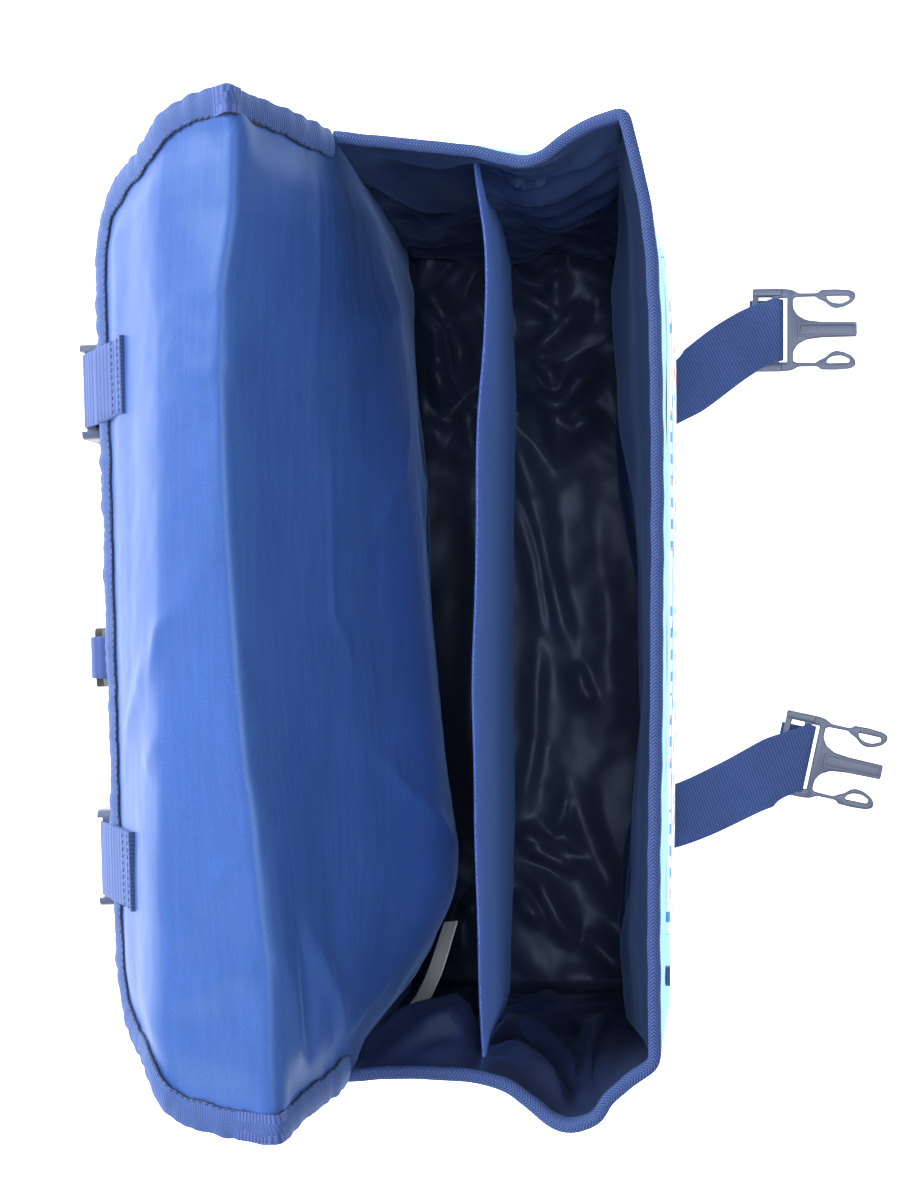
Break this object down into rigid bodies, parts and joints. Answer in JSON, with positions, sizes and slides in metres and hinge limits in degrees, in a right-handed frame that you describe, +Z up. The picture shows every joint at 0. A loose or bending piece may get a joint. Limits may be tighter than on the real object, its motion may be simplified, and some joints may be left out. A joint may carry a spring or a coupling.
{
  "type": "school bag",
  "caption": "Child's school satchel of light blue cloth with navy lining, standing open with its flap thrown back, a divider inside and side release buckles on webbing straps.",
  "frame": {"origin": "centre of the flat base, on the floor", "axes": "+X along the bag's width towards its right end seen from the front, -Y out of the front where the closure straps lie, +Z up"},
  "size_m": [0.3879, 0.3418, 0.3089],
  "materials": {
    "outer_cloth": "matt woven light blue cloth",
    "lining_cloth": "glossy navy taffeta",
    "divider_cloth": "matt navy cloth",
    "binding_tape": "ribbed navy tape",
    "webbing": "ribbed navy webbing",
    "buckle_plastic": "satin grey navy moulded plastic",
    "ring_plastic": "satin dark grey moulded plastic",
    "pocket_print": "white cloth with small blue and coral marks",
    "label_cloth": "blank white satin ribbon"
  },
  "bodies": {
    "root": {"base_panel": "outer_cloth", "front_panel": "outer_cloth", "back_panel": "outer_cloth", "side_panel_left": "outer_cloth", "side_panel_right": "outer_cloth", "flap": "outer_cloth", "base_lining": "lining_cloth", "front_lining": "lining_cloth", "side_lining_left": "lining_cloth", "side_lining_right": "lining_cloth", "flap_lining": "lining_cloth", "divider": "divider_cloth", "rim_binding_front": "binding_tape", "rim_binding_left": "binding_tape", "rim_binding_right": "binding_tape", "flap_binding": "binding_tape", "closure_strap_left": "webbing", "closure_strap_right": "webbing", "flap_tab_left": "webbing", "flap_tab_right": "webbing", "ring_tab": "webbing", "pocket_tab": "webbing", "male_buckle_left": "buckle_plastic", "male_buckle_right": "buckle_plastic", "female_buckle_left": "buckle_plastic", "female_buckle_right": "buckle_plastic", "tab_ring": "ring_plastic", "front_pocket": "pocket_print", "care_label": "label_cloth"}
  },
  "joints": []
}
